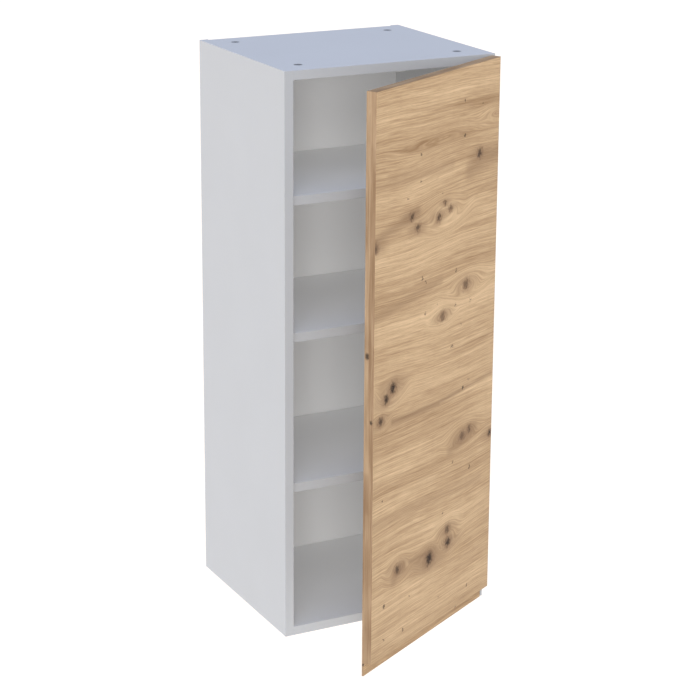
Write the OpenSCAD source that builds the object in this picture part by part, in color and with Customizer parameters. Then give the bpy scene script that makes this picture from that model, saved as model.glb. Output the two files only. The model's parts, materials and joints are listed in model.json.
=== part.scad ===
// Tall wall cabinet with three shelves and one overlay door on concealed hinges.
// Millimetres. X runs along the front, Y runs back to the wall and Z is up.
// The origin is on the wall, at the middle of the wall rail's screw line.

/* [Carcass] */
// Width over the side panels
width = 400; // [330:1:600]
// Height of the side panels
height = 1005; // [830:1:1250]
// Depth from the wall to the front edges
depth = 348; // [285:1:450]
// Thickness of the sides, top, bottom and shelves
board = 16; // [15:0.5:20]
// Thickness of the back panel
back_t = 3; // [2.5:0.5:5]
// Distance from the wall to the back panel's rear face
back_inset = 20; // [18:1:30]
// Depth of the grooves that hold the back panel
groove_depth = 7; // [5:0.5:9]
// Distance that the top and bottom panels stop short of the wall
rear_relief = 6; // [0:1:10]
// Thickness of the edge bands on the carcass boards
band = 0.8; // [0.4:0.1:2]

/* [Joints between the boards] */
// Radius of the cam housings
cam_r = 7.5; // [5:0.5:10]
// Distance from the cam bolts' middle line to the bottom of the cam housings
cam_floor = 4.5; // [4:0.1:6]
// Distance from a board's end to the cam's centre
cam_inset = 32; // [24:1:34]
// Distance from the front and from the wall to the cam's centre
cam_margin = 48; // [40:1:60]
// Radius of the wooden dowels
dowel_r = 4; // [3:0.5:5]
// Length of the wooden dowels
dowel_l = 30; // [25:1:40]
// Distance between a dowel and the cam bolt beside it
dowel_offset = 32; // [24:1:40]

/* [Shelves] */
// Clear height under the lower shelf
bay_1 = 248; // [180:1:260]
// Clear height between the lower and the middle shelf
bay_2 = 256; // [180:1:260]
// Clear height between the middle and the upper shelf
bay_3 = 223; // [180:1:230]
// Distance from the front to the shelves' front edges
shelf_setback = 10; // [5:1:40]
// Distance from the front to the front row of pin holes
front_pin_row = 45; // [37:1:80]
// Distance from the back panel to the rear row of pin holes
rear_pin_row = 37; // [30:1:80]
// Radius of the shelf pins
shelf_pin_r = 2.5; // [2:0.5:3]
// Distance between the pin holes in a row
pin_pitch = 32; // [20:1:40]

/* [Door] */
// Thickness of the door board
door_t = 18; // [16:1:22]
// Gap between the closed door and the carcass
door_gap = 2; // [1.5:0.5:4]
// Distance from the door's side edges to the outside of the cabinet
side_reveal = 1.5; // [1:0.5:4]
// Distance from the door's top edge to the top of the cabinet
top_reveal = 2.5; // [1:0.5:5]
// Distance from the door's lower lip to the bottom of the cabinet
bottom_reveal = 1; // [0:0.5:5]
// Height of the finger grip milled along the lower edge
grip_h = 25; // [15:1:40]
// Thickness of the lip left behind the finger grip
grip_lip = 3; // [2:0.5:6]
// Radius in the grip's inner corner
grip_r = 8; // [2:1:10]
// Thickness of the door's edge bands
door_band = 1; // [0.5:0.1:2]
// Angle that the door stands open
door_open = 29.7; // [0:0.1:95]

/* [Hinges] */
// Distance from the door's ends to the outer hinges
hinge_inset = 100; // [70:1:120]
// Height of the middle hinge above the cabinet's bottom
middle_hinge_h = 408; // [330:1:480]
// Radius of the cup's bore in the door
cup_r = 17.5; // [16:0.5:18]
// Depth of the cup
cup_depth = 11.5; // [10:0.5:12]
// Distance from the door's edge to the cup's bore
cup_edge = 5; // [3:0.5:8]
// Thickness of the hinge's pressed steel
steel_t = 1.2; // [1:0.1:1.5]
// Radius of the hinge's pivot pins
hinge_pin_r = 1.3; // [1:0.1:1.6]
// Distance from the front to the plate's screw line
plate_line = 37; // [32:1:45]

/* [Hanging] */
// Distance from the wall rail's screw line to the top panel's underside
rail_drop = 62; // [55:1:80]
// Distance between the wall rail's screw holes
rail_hole_spacing = 256; // [160:32:288]
// Radius of the wall rail's screw holes
rail_hole_r = 3.5; // [2.5:0.5:4.5]
// Thickness of the wall rail's steel
rail_t = 2; // [1.5:0.5:3]
// Height of the hanger bodies
hanger_h = 58; // [50:1:60]

/* [Hidden] */
$fn = 48;
eps = 0.01;
board_color = [0.80, 0.80, 0.81];
band_color = [0.74, 0.74, 0.75];
oak_color = [0.79, 0.67, 0.53];
oak_edge_color = [0.72, 0.60, 0.48];
steel_color = [0.75, 0.76, 0.78];

inside = width - 2 * board;                 // clear width between the sides
rail_z = height - board - rail_drop;        // wall rail's screw line above the bottom
back_face = -back_inset - back_t;           // front face of the back panel
hole_fit = 0.1;                             // play round a screw, pin or dowel in its hole
pin_fit = 0.05;                             // play round a pivot pin in its eye
groove_play = 0.3;                          // play of the back panel in its grooves
end_play = 1;                               // play at the back panel's edges and the shelves' ends

// Joints between the boards
cam_ys = [cam_margin - depth, -cam_margin];
dowel_ys = [cam_margin + dowel_offset - depth, -cam_margin - dowel_offset];
joint_zs = [board / 2, height - board / 2];
cam_depth = board / 2 + cam_floor;
bolt_thread_r = 2.5;
bolt_thread_l = 11;
bolt_shank_r = 3.5;
bolt_head_r = 3.4;
bolt_neck_r = 2;
bolt_shank_gap = 1;                         // space between the cam and the bolt's shank
cam_neck_play = 0.6;                        // play of the bolt's neck in the cam
cam_head_play = 0.4;                        // play of the bolt's head in the cam
cross_l = 8;                                // driver cross in the cam's face
cross_w = 1.2;
cross_depth = 1.5;
dowel_in_side = board - 5;
hole_end = 1;                               // space left past the end of a dowel or pin

// Shelves: the heights of their undersides
shelf_zs = [board + bay_1, 2 * board + bay_1 + bay_2, 3 * board + bay_1 + bay_2 + bay_3];
pin_ys = [front_pin_row - depth, back_face - rear_pin_row];
pin_in_side = 9;
pin_out = 7;
pin_collar_r = 4;
pin_collar_t = 0.8;

// Door, drawn closed
door_w = width - 2 * side_reveal;
door_h = height - top_reveal - bottom_reveal;
door_back = -depth - door_gap;              // rear face of the closed door
bumper_r = 4;
bumper_h = 1.6;
bumper_rim = 1;
bumper_inset = 40;                          // from the cabinet's top and bottom

// Hinges, drawn closed: x = 0 at the cup's centre and y = 0 at the carcass's front
hinge_x = door_w / 2 - cup_edge - cup_r;
wall_x = inside / 2 - hinge_x;              // the side panel's inner face
hinge_zs = [bottom_reveal + hinge_inset, middle_hinge_h, height - top_reveal - hinge_inset];
outer_fixed = [-4.7, 6.6];                  // outer link's pivot on the arm
outer_moving = [12.1, -2.85 - door_gap];    // outer link's pivot in the cup
inner_fixed = [-10.5, 12.2];                // inner link's sliding pivot in the arm
inner_moving = [11.55, -6.8 - door_gap];    // inner link's pivot in the cup
outer_elbow = [-1.6, -8.4 - door_gap];
inner_elbow = [-9.4, -8.4 - door_gap];
outer_ratio = -0.52;                        // turn of the outer link per turn of the door
inner_ratio = -0.21;                        // turn of the inner link per turn of the door
slide_front = [0.85, -1.65];                // how far the sliding pivot moves forwards
slide_rear = [-1.6, 1.3];                   // and backwards
slide_fit = 0.55;                           // play round the sliding pivot in its slot
link_r = 1.5;                               // half the width of a link
elbow_r = 1.6;                              // outside of a link's bend
eye_r = 2.4;                                // outside of a link's eye
barrel_r = 2.6;                             // sleeve that joins the outer link's two cheeks
inner_link_z = 2.6;                         // half the inner link's thickness
inner_ear_z = 2.9;                          // inner face of the ears that hold the inner pin
outer_link_z = 4.4;                         // inner face of the outer link's cheeks
outer_link_t = 1;                           // thickness of the outer link's cheeks
outer_ear_z = 5.7;                          // inner face of the arm's cheeks and outer ears
ear_t = 0.9;
outer_ear_r = 2.2;
inner_ear_r = 2;
rivet = 0.2;                                // how far a pin stands out of what holds it
cup_fit = 0.1;
flange_t = 0.8;
flange_x = [-16, -3];
flange_z = 29;
notch_z = 5.65;                             // half the height of the notch in the cup's rim
notch_x = 13.4;
notch_depth = 5;
cup_screw_x = -9.5;
cup_screw_z = 22.5;
screw_r = 1.5;
screw_l = 11;
screw_head_r = 3.2;
screw_head_h = 1.6;
arm_l = 62;
arm_nose_r = 3.4;
arm_front = 9;                              // where the arm's web begins
foot_gap = 0.4;                             // space between the arm's cheeks and the plate's foot
arm_web_x = -16.6;                          // outside of the arm's web at the nose
arm_low_x = -9;                             // outside of the arm's web over the plate
arm_step = [20, 30];                        // where the arm steps down
arm_z = outer_ear_z + steel_t;
plate_foot_t = 2;
plate_ys = [20, 60];
plate_z = 5.3;
plate_top_x = arm_low_x + steel_t + 2;
wing_z = 25;
wing_y = 6;
plate_screw_z = 16;
plate_screw_r = 2.4;
plate_screw_l = 12;
plate_head_r = 3.6;
plate_head_h = 2;
adjust_r = 2.9;
adjust_ys = [36, 52];
adjust_l = 7;
spring_ys = [17, 18.6, 28.4, 32.8];          // the leaf spring's tip, bends and root
spring_w = 6;
spring_t = 0.6;
spring_gap = 1.2;                           // between the arm's web and the spring's tip
slot_w = 0.8;                               // driver slots
slot_share = 0.6;

// Hangers: x = 0 on the side's inner face, running inwards, and z = 0 on the screw line
hanger_w = 18;
hanger_d = 32;
hanger_wall = 1.5;
hanger_front = 4;
hanger_gap = 1;                             // space between the hanger and the top panel
hanger_z = rail_drop - hanger_gap - hanger_h;
cover_t = 1.2;
cover_d = 38;
cover_fit = 0.2;
hook_t = 4;
hook_x = (hanger_w - hook_t) / 2;
hook_block = [-14, -4];                     // front and rear of the hook's block in the hanger
hook_block_end = 9;                         // from the hanger's ends to the block
hook_arm_h = 8;
hook_tip_l = 11;
hook_tip_play = 0.4;                        // between the hook's tip and the rail
hook_wall_gap = 1.2;                        // between the hook's tip and the wall
hook_tip_bevel = 2;
hook_screw_end = 16;                        // from the hanger's ends to the hook's screws
hook_screw_zs = [hanger_z + hook_screw_end, hanger_z + hanger_h - hook_screw_end];
hook_screw_r = 3;
hook_screw_head_r = 4.5;
hook_screw_head_h = 2.4;
plug_r = 5;
plug_l = 11;
plug_pitch = 32;
plug_top = 14;                              // from the hanger's top to the upper plug
plug_y = back_face - hanger_d / 2;
cutout_w = 24;
hanger_foot = 9;                            // height of the hanger that bears on the back panel
rail_end = 15;                              // space between the rail's end and the side panel
rail_low = -16;
rail_step_z = 12;
rail_top = 30;
rail_stand_off = 6;

module from_bottom() {
    translate([0, 0, -rail_z]) children();
}

// Turns what is drawn for the right side into the left side's
module left_hand() {
    mirror([1, 0, 0]) children();
}

module both_hands() {
    children();
    left_hand() children();
}

// A cylinder that runs along +X from the origin
module rod_x(r, l) {
    rotate([0, 90, 0]) cylinder(r = r, h = l);
}

// A cylinder that runs along +Y from the origin
module rod_y(r, l) {
    rotate([-90, 0, 0]) cylinder(r = r, h = l);
}

// ---- Carcass ----

module side_board(hinged) {
    difference() {
        translate([inside / 2, band - depth, 0]) cube([board, depth - band, height]);
        translate([inside / 2 - eps, back_face - groove_play, board - groove_depth])
            cube([groove_depth + eps, back_t + groove_play, height - 2 * board + 2 * groove_depth]);
        for (z = joint_zs) {
            for (y = cam_ys)
                translate([inside / 2 - eps, y, z])
                    rod_x(bolt_thread_r + hole_fit, bolt_thread_l + hole_end);
            for (y = dowel_ys)
                translate([inside / 2 - eps, y, z]) rod_x(dowel_r + hole_fit, dowel_in_side + hole_end);
        }
        for (z = shelf_zs, y = pin_ys, row = [-1:1])
            translate([inside / 2 - eps, y, z - shelf_pin_r + row * pin_pitch])
                rod_x(shelf_pin_r + hole_fit, pin_in_side + hole_end);
        for (row = [0, 1])
            translate([inside / 2 - eps, plug_y, plug_z(row)]) rod_x(plug_r + hole_fit, plug_l + hole_end);
        if (hinged)
            for (z = hinge_zs, s = [-1, 1])
                translate([inside / 2 - eps, plate_line - depth, z + s * plate_screw_z])
                    rod_x(plate_screw_r + hole_fit, plate_screw_l + hole_end);
    }
}

module left_side() {
    color(board_color) from_bottom() left_hand() side_board(false);
}

module right_side() {
    color(board_color) from_bottom() side_board(true);
}

// The top panel, drawn with its lower face at z = 0
module end_board() {
    difference() {
        translate([-inside / 2, band - depth, 0]) cube([inside, depth - band - rear_relief, board]);
        translate([-inside / 2 - eps, back_face - groove_play, -eps])
            cube([inside + 2 * eps, back_t + groove_play, groove_depth + eps]);
        both_hands() {
            for (y = cam_ys) {
                translate([inside / 2 - cam_inset, y, board - cam_depth])
                    cylinder(r = cam_r, h = cam_depth + eps);
                translate([inside / 2 - cam_inset, y, board / 2])
                    rod_x(bolt_shank_r + hole_fit, cam_inset + eps);
            }
            for (y = dowel_ys)
                translate([inside / 2 - dowel_l + dowel_in_side - hole_end, y, board / 2])
                    rod_x(dowel_r + hole_fit, dowel_l);
        }
    }
}

module top_panel() {
    color(board_color) from_bottom() translate([0, 0, height - board]) end_board();
}

module bottom_panel() {
    color(board_color) from_bottom() translate([0, 0, board]) mirror([0, 0, 1]) end_board();
}

module back_panel() {
    reach = groove_depth - end_play;
    color(board_color) from_bottom() difference() {
        translate([-inside / 2 - reach, back_face, board - reach])
            cube([inside + 2 * reach, back_t, height - 2 * board + 2 * reach]);
        both_hands()
            translate([inside / 2 - cutout_w, back_face - eps, rail_z + hanger_z + hanger_foot])
                cube([cutout_w + reach + eps, back_t + 2 * eps, height]);
    }
}

module shelf(z) {
    front = shelf_setback + band - depth;
    color(board_color) from_bottom() translate([end_play - inside / 2, front, z])
        cube([inside - 2 * end_play, back_face - end_play - front, board]);
}

module lower_shelf() {
    shelf(shelf_zs[0]);
}

module middle_shelf() {
    shelf(shelf_zs[1]);
}

module upper_shelf() {
    shelf(shelf_zs[2]);
}

module side_edge_bands() {
    color(band_color) from_bottom() both_hands()
        translate([inside / 2, -depth, 0]) cube([board, band, height]);
}

module top_and_bottom_edge_bands() {
    color(band_color) from_bottom()
        for (z = [0, height - board])
            translate([-inside / 2, -depth, z]) cube([inside, band, board]);
}

module shelf_edge_bands() {
    color(band_color) from_bottom()
        for (z = shelf_zs)
            translate([end_play - inside / 2, shelf_setback - depth, z])
                cube([inside - 2 * end_play, band, board]);
}

// ---- Joint fittings ----

// A cam with its bolt's slot, drawn in the end board's place
module cam_lock() {
    r = cam_r - hole_fit;
    translate([inside / 2 - cam_inset, 0, board - cam_depth]) difference() {
        cylinder(r = r, h = cam_depth);
        translate([0, 0, cam_floor]) {
            rod_x(bolt_neck_r + cam_neck_play, cam_r);
            sphere(r = bolt_head_r + cam_head_play);
        }
        translate([0, 0, cam_depth - cross_depth]) {
            translate([-cross_l / 2, -cross_w / 2, 0]) cube([cross_l, cross_w, cross_depth + eps]);
            translate([-cross_w / 2, -cross_l / 2, 0]) cube([cross_w, cross_l, cross_depth + eps]);
        }
    }
}

module cam_locks() {
    color(steel_color) from_bottom() both_hands() for (y = cam_ys) translate([0, y, 0]) {
        translate([0, 0, height - board]) cam_lock();
        translate([0, 0, board]) mirror([0, 0, 1]) cam_lock();
    }
}

module cam_bolt() {
    shank = cam_r + bolt_shank_gap - cam_inset;
    translate([inside / 2, 0, 0]) {
        rod_x(bolt_thread_r, bolt_thread_l);
        translate([shank, 0, 0]) rod_x(bolt_shank_r, -shank);
        translate([-cam_inset, 0, 0]) {
            rod_x(bolt_neck_r, shank + cam_inset + 1);
            sphere(r = bolt_head_r);
        }
    }
}

module cam_bolts() {
    color(steel_color) from_bottom() both_hands()
        for (y = cam_ys, z = joint_zs) translate([0, y, z]) cam_bolt();
}

module wooden_dowels() {
    color([0.80, 0.66, 0.45]) from_bottom() both_hands()
        for (y = dowel_ys, z = joint_zs)
            translate([inside / 2 - dowel_l + dowel_in_side, y, z]) rod_x(dowel_r, dowel_l);
}

module shelf_pin() {
    translate([inside / 2, 0, 0]) {
        translate([-pin_out, 0, 0]) rod_x(shelf_pin_r, pin_out + pin_in_side);
        translate([-pin_collar_t, 0, 0]) rod_x(pin_collar_r, pin_collar_t);
    }
}

module shelf_pins() {
    color(steel_color) from_bottom() both_hands()
        for (z = shelf_zs, y = pin_ys) translate([0, y, z - shelf_pin_r]) shelf_pin();
}

// ---- Hinge motion ----

// Puts what is drawn in a hinge's own place at the closed door's cup
module at_hinge(z) {
    translate([hinge_x, -depth, z]) children();
}

module turn_about(p, angle) {
    translate([p.x, p.y, 0]) rotate([0, 0, angle]) translate([-p.x, -p.y, 0]) children();
}

// Carries what is drawn closed to where the outer link, the door or the inner link stands
module with_outer_link() {
    turn_about(outer_fixed, outer_ratio * door_open) children();
}

module with_hinged_door() {
    with_outer_link() turn_about(outer_moving, (1 - outer_ratio) * door_open) children();
}

module with_inner_link() {
    with_hinged_door() turn_about(inner_moving, (inner_ratio - 1) * door_open) children();
}

// Carries what is drawn on the closed door, in the cabinet's place, to the open door
module opened() {
    from_bottom() at_hinge(0) with_hinged_door() translate([-hinge_x, depth, 0]) children();
}

// ---- Door ----

module grip_cut() {
    translate([-door_t - 1, -1]) {
        square([door_t + 1 - grip_lip - grip_r, grip_h + 1]);
        square([door_t + 1 - grip_lip, grip_h + 1 - grip_r]);
    }
    translate([-grip_lip - grip_r, grip_h - grip_r]) circle(r = grip_r);
}

// The door's section, front face at x = -door_t and lower lip at y = 0
module door_section(h) {
    difference() {
        translate([-door_t, 0]) square([door_t, h]);
        grip_cut();
    }
}

module door_slice(x, w, h) {
    translate([x, door_back, bottom_reveal]) rotate([90, 0, 90]) linear_extrude(w) door_section(h);
}

module door_board() {
    color(oak_color) opened() difference() {
        door_slice(door_band - door_w / 2, door_w - 2 * door_band, door_h - door_band);
        for (z = hinge_zs) {
            translate([hinge_x, door_back - cup_depth - 0.5, z]) rod_y(cup_r, cup_depth + 0.5 + eps);
            for (s = [-1, 1])
                translate([hinge_x + cup_screw_x, door_back - screw_l - hole_end, z + s * cup_screw_z])
                    rod_y(screw_r + hole_fit, screw_l + hole_end + eps);
        }
    }
}

module door_free_edge_band() {
    color(oak_edge_color) opened() door_slice(-door_w / 2, door_band, door_h);
}

module door_hinge_edge_band() {
    color(oak_edge_color) opened() door_slice(door_w / 2 - door_band, door_band, door_h);
}

module door_top_edge_band() {
    color(oak_edge_color) opened()
        translate([door_band - door_w / 2, door_back - door_t, height - top_reveal - door_band])
            cube([door_w - 2 * door_band, door_t, door_band]);
}

module door_bumpers() {
    color([0.9, 0.9, 0.9]) opened()
        for (z = [bumper_inset, height - bumper_inset])
            translate([-inside / 2 - board / 2, door_back, z]) {
                rod_y(bumper_r, bumper_h / 2);
                rod_y(bumper_r - bumper_rim, bumper_h);
            }
}

// ---- Hinges ----

module link_bar(p, q) {
    d = q - p;
    translate(p) circle(r = elbow_r);
    translate(q) circle(r = elbow_r);
    translate(p) rotate(atan2(d.y, d.x)) translate([0, -link_r]) square([norm(d), 2 * link_r]);
}

module ear(p, z0, r) {
    floor_y = steel_t / 2 - door_gap - cup_depth;
    for (low = [z0, -z0 - ear_t]) translate([0, 0, low]) linear_extrude(ear_t) difference() {
        union() {
            translate(p) circle(r = r);
            translate([p.x - r, floor_y]) square([2 * r, p.y - floor_y]);
        }
        translate(p) circle(r = hinge_pin_r);
    }
}

module hinge_cup(z) {
    outer = cup_r - cup_fit;
    color(steel_color) from_bottom() at_hinge(z) with_hinged_door() {
        difference() {
            union() {
                translate([0, -door_gap - cup_depth, 0]) rod_y(outer, cup_depth);
                translate([0, -door_gap, 0]) rod_y(outer + 1, flange_t);
                translate([flange_x[0], -door_gap, -flange_z])
                    cube([flange_x[1] - flange_x[0], flange_t, 2 * flange_z]);
            }
            translate([0, steel_t - door_gap - cup_depth, 0]) rod_y(outer - steel_t, cup_depth);
            translate([notch_x, -door_gap - notch_depth, -notch_z]) cube([cup_r, cup_depth, 2 * notch_z]);
            for (s = [-1, 1])
                translate([cup_screw_x, -door_gap - eps, s * cup_screw_z]) rod_y(screw_r + hole_fit, 2);
        }
        ear(outer_moving, outer_ear_z, outer_ear_r);
        ear(inner_moving, inner_ear_z, inner_ear_r);
    }
}

// Outline of the arm's cheeks, with the outer link's bore and the sliding pivot's slot
module cheek_outline() {
    foot_x = wall_x - plate_foot_t - foot_gap;
    slot_r = hinge_pin_r + slide_fit;
    difference() {
        union() {
            translate(outer_fixed) circle(r = arm_nose_r);
            polygon([[arm_web_x, arm_front], [outer_fixed.x - 2, outer_fixed.y - 2.7],
                [outer_fixed.x + arm_nose_r, outer_fixed.y], [foot_x, plate_ys[0] - 2], [foot_x, arm_l],
                [arm_low_x, arm_l], [arm_low_x, arm_step[1]], [arm_web_x, arm_step[0]]]);
        }
        translate(outer_fixed) circle(r = hinge_pin_r);
        translate(inner_fixed + slide_front) circle(r = slot_r);
        translate(inner_fixed + slide_rear) circle(r = slot_r);
        translate(inner_fixed + slide_front)
            rotate(atan2(slide_rear.y - slide_front.y, slide_rear.x - slide_front.x))
                translate([0, -slot_r]) square([norm(slide_rear - slide_front), 2 * slot_r]);
    }
}

// Outline of the arm's web, one sheet thick, along the cheeks' inner edge
module web_outline() {
    polygon([[arm_web_x, arm_front], [arm_web_x, arm_step[0]], [arm_low_x, arm_step[1]],
        [arm_low_x, arm_l], [arm_low_x + steel_t, arm_l], [arm_low_x + steel_t, arm_step[1] - 0.6],
        [arm_web_x + steel_t, arm_step[0] - 0.6], [arm_web_x + steel_t, arm_front]]);
}

module hinge_arm(z) {
    color(steel_color) from_bottom() at_hinge(z) difference() {
        union() {
            for (z0 = [outer_ear_z, -arm_z])
                translate([0, 0, z0]) linear_extrude(steel_t) cheek_outline();
            translate([0, 0, -arm_z]) linear_extrude(2 * arm_z) web_outline();
        }
        for (y = adjust_ys) translate([arm_low_x - 1, y, 0]) rod_x(adjust_r + hole_fit, 4);
    }
}

module mounting_plate(z) {
    color(steel_color) from_bottom() at_hinge(z) difference() {
        union() {
            translate([wall_x - plate_foot_t, plate_line - wing_y, -wing_z])
                cube([plate_foot_t, 2 * wing_y, 2 * wing_z]);
            translate([plate_top_x, plate_ys[0], -plate_z])
                cube([wall_x - plate_top_x, plate_ys[1] - plate_ys[0], 2 * plate_z]);
        }
        for (s = [-1, 1])
            translate([wall_x - plate_foot_t - 1, plate_line, s * plate_screw_z])
                rod_x(plate_screw_r + hole_fit, plate_foot_t + 2);
        for (y = adjust_ys) translate([plate_top_x - 1, y, 0]) rod_x(adjust_r + hole_fit, adjust_l + 1);
    }
}

module outer_link(z) {
    color(steel_color) from_bottom() at_hinge(z) with_outer_link() difference() {
        union() {
            for (z0 = [outer_link_z, -outer_link_z - outer_link_t])
                translate([0, 0, z0]) linear_extrude(outer_link_t) {
                    link_bar(outer_fixed, outer_elbow);
                    link_bar(outer_elbow, outer_moving);
                    translate(outer_fixed) circle(r = barrel_r);
                    translate(outer_moving) circle(r = eye_r);
                }
            translate([outer_fixed.x, outer_fixed.y, -outer_link_z - outer_link_t / 2])
                cylinder(r = barrel_r, h = 2 * outer_link_z + outer_link_t);
        }
        for (p = [outer_fixed, outer_moving])
            translate([p.x, p.y, -arm_z]) cylinder(r = hinge_pin_r + pin_fit, h = 2 * arm_z);
    }
}

module inner_link(z) {
    color(steel_color) from_bottom() at_hinge(z) with_inner_link()
        translate([0, 0, -inner_link_z]) linear_extrude(2 * inner_link_z) difference() {
            union() {
                link_bar(inner_fixed, inner_elbow);
                link_bar(inner_elbow, inner_moving);
                translate(inner_fixed) circle(r = eye_r);
                translate(inner_moving) circle(r = eye_r);
            }
            translate(inner_moving) circle(r = hinge_pin_r + pin_fit);
            translate(inner_fixed) circle(r = hinge_pin_r);
        }
}

module pin_at(p, z0, z1) {
    translate([p.x, p.y, z0]) cylinder(r = hinge_pin_r, h = z1 - z0);
}

module arm_pivot_pins() {
    end = arm_z + rivet;
    color(steel_color) from_bottom() for (z = hinge_zs) at_hinge(z) pin_at(outer_fixed, -end, end);
}

module cup_outer_pivot_pins() {
    z0 = outer_link_z - rivet / 2;
    z1 = outer_ear_z + ear_t + rivet;
    color(steel_color) from_bottom() for (z = hinge_zs) at_hinge(z) with_hinged_door() {
        pin_at(outer_moving, z0, z1);
        pin_at(outer_moving, -z1, -z0);
    }
}

module cup_inner_pivot_pins() {
    end = inner_ear_z + ear_t + rivet;
    color(steel_color) from_bottom() for (z = hinge_zs) at_hinge(z) with_hinged_door()
        pin_at(inner_moving, -end, end);
}

module sliding_pivot_pins() {
    end = arm_z + rivet;
    color(steel_color) from_bottom() for (z = hinge_zs) at_hinge(z) with_inner_link()
        pin_at(inner_fixed, -end, end);
}

// A leaf spring under the arm's web
module hinge_springs() {
    root_x = arm_low_x + steel_t;
    tip_x = arm_web_x + steel_t + spring_gap;
    color(steel_color) from_bottom() for (z = hinge_zs) at_hinge(z)
        translate([0, 0, -spring_w / 2]) linear_extrude(spring_w) polygon([
            [root_x, spring_ys[3]], [root_x, spring_ys[2]], [tip_x, spring_ys[1]], [tip_x, spring_ys[0]],
            [tip_x + spring_t, spring_ys[0]], [tip_x + spring_t, spring_ys[1] - spring_t / 2],
            [root_x + spring_t, spring_ys[2] - spring_t], [root_x + spring_t, spring_ys[3]]]);
}

// A screw that runs along -X, with its head's seat at the origin
module side_screw(r, l, head_r, head_h) {
    reach = head_r * slot_share;
    cut = head_h * slot_share;
    difference() {
        union() {
            rod_x(r, l);
            translate([-head_h, 0, 0]) rod_x(head_r, head_h);
        }
        translate([-head_h - eps, -reach, -slot_w / 2]) cube([cut + eps, 2 * reach, slot_w]);
        translate([-head_h - eps, -slot_w / 2, -reach]) cube([cut + eps, slot_w, 2 * reach]);
    }
}

module hinge_cup_screws() {
    color(steel_color) from_bottom() for (z = hinge_zs, s = [-1, 1]) at_hinge(z) with_hinged_door()
        translate([cup_screw_x, flange_t - door_gap, s * cup_screw_z]) rotate([0, 0, -90])
            side_screw(screw_r, screw_l + flange_t, screw_head_r, screw_head_h);
}

module mounting_plate_screws() {
    color(steel_color) from_bottom() for (z = hinge_zs, s = [-1, 1]) at_hinge(z)
        translate([wall_x - plate_foot_t, plate_line, s * plate_screw_z])
            side_screw(plate_screw_r, plate_screw_l + plate_foot_t, plate_head_r, plate_head_h);
}

module hinge_adjusting_screws() {
    color(steel_color) from_bottom() for (z = hinge_zs, y = adjust_ys) at_hinge(z)
        translate([arm_low_x, y, 0]) side_screw(adjust_r, adjust_l, adjust_r, 0.4);
}

// ---- Hangers ----

function plug_z(row) = height - board - hanger_gap - plug_top - row * plug_pitch;

// Puts what is drawn for a hanger in the right upper corner, X running inwards
module at_hanger() {
    translate([inside / 2, back_face, 0]) mirror([1, 0, 0]) children();
}

module hanger_body() {
    depth_in = hanger_d - hanger_front;
    at_hanger() difference() {
        translate([0, -hanger_d, hanger_z]) cube([hanger_w, hanger_d, hanger_h]);
        translate([hanger_wall, -depth_in, hanger_z + hanger_wall])
            cube([hanger_w - 2 * hanger_wall, depth_in + 1, hanger_h - 2 * hanger_wall]);
        for (z = hook_screw_zs)
            translate([hanger_w / 2, -hanger_d - 1, z]) rod_y(hook_screw_r + pin_fit, hanger_front + 2);
    }
}

module hanger_hook() {
    wall = -back_face - hook_wall_gap;
    rail = -back_face - rail_stand_off + hook_tip_play;
    block_z = [hanger_z + hook_block_end, hanger_z + hanger_h - hook_block_end];
    arm_top = rail_top + hook_arm_h;
    at_hanger() translate([hook_x, 0, 0]) rotate([90, 0, 90]) linear_extrude(hook_t) polygon([
        [hook_block[0], block_z[0]], [hook_block[1], block_z[0]], [hook_block[1], rail_top],
        [rail, rail_top], [rail, rail_top - hook_tip_l],
        [wall - hook_tip_bevel, rail_top - hook_tip_l], [wall, rail_top - hook_tip_l + hook_tip_bevel],
        [wall, arm_top - hook_tip_bevel], [wall - hook_tip_bevel, arm_top],
        [hook_block[1], arm_top], [hook_block[1], block_z[1]], [hook_block[0], block_z[1]]]);
}

module hanger_cover() {
    at_hanger() difference() {
        translate([0, -cover_d, hanger_z - cover_t - cover_fit])
            cube([hanger_w + cover_t + cover_fit, cover_d, hanger_h + cover_t + hanger_gap]);
        translate([-1, cover_t - cover_d, hanger_z - cover_fit])
            cube([hanger_w + 1 + cover_fit, cover_d, hanger_h + 2 * cover_fit]);
    }
}

module hanger_body_left() {
    color(steel_color) left_hand() hanger_body();
}

module hanger_body_right() {
    color(steel_color) hanger_body();
}

module hanger_cover_left() {
    color("white") left_hand() hanger_cover();
}

module hanger_cover_right() {
    color("white") hanger_cover();
}

module hanger_hook_left() {
    color(steel_color) left_hand() hanger_hook();
}

module hanger_hook_right() {
    color(steel_color) hanger_hook();
}

module hanger_adjusting_screws() {
    color(steel_color) both_hands() for (z = hook_screw_zs) at_hanger()
        translate([hanger_w / 2, -hanger_d, z]) rotate([0, 0, 90])
            side_screw(hook_screw_r, hanger_d + hook_block[0], hook_screw_head_r, hook_screw_head_h);
}

module hanger_plugs() {
    color("white") from_bottom() both_hands() for (row = [0, 1])
        translate([inside / 2, plug_y, plug_z(row)]) rod_x(plug_r, plug_l);
}

module wall_rail() {
    length = inside - 2 * rail_end;
    front = -rail_t - rail_stand_off;
    color(steel_color) difference() {
        translate([-length / 2, 0, 0]) rotate([90, 0, 90]) linear_extrude(length) union() {
            translate([-rail_t, rail_low]) square([rail_t, rail_step_z + rail_t - rail_low]);
            translate([front, rail_step_z]) square([-front, rail_t]);
            translate([front, rail_step_z]) square([rail_t, rail_top - rail_step_z]);
        }
        both_hands()
            translate([rail_hole_spacing / 2, -rail_t - 1, 0]) rod_y(rail_hole_r, rail_t + 2);
    }
}

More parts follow.
